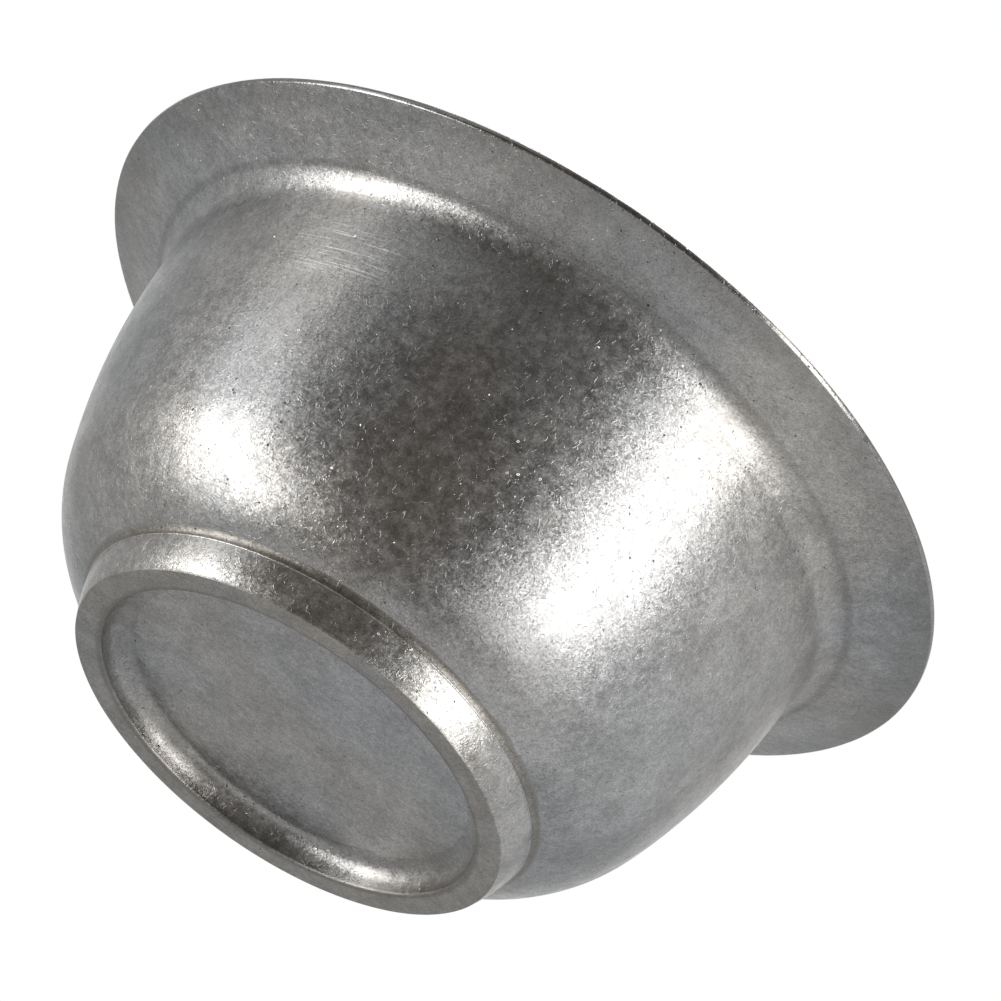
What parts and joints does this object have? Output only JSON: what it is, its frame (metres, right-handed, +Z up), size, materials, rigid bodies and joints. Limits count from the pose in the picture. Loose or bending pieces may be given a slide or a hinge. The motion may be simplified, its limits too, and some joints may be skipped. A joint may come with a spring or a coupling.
{
  "type": "dipping bowl",
  "caption": "Small round footed metal bowl with a rounded belly and a wide flared brim, for dips and sauces.",
  "frame": {"origin": "centre of the foot ring's flat underside, where the bowl stands", "axes": "+Z up along the bowl's axis, from the foot to the brim; X and Y lie in the plane that it stands on"},
  "size_m": [0.09, 0.09, 0.042],
  "materials": {
    "tumbled_steel": "tumbled satin with fine pits and flecks",
    "ring_steel": "tumbled matte with a worn edge",
    "outer_filler_metal": "dull, darkened in the corner",
    "inner_filler_metal": "dull"
  },
  "bodies": {
    "root": {"bowl_shell": "tumbled_steel", "foot_ring": "ring_steel", "outer_braze_fillet": "outer_filler_metal", "inner_braze_fillet": "inner_filler_metal"}
  },
  "joints": []
}
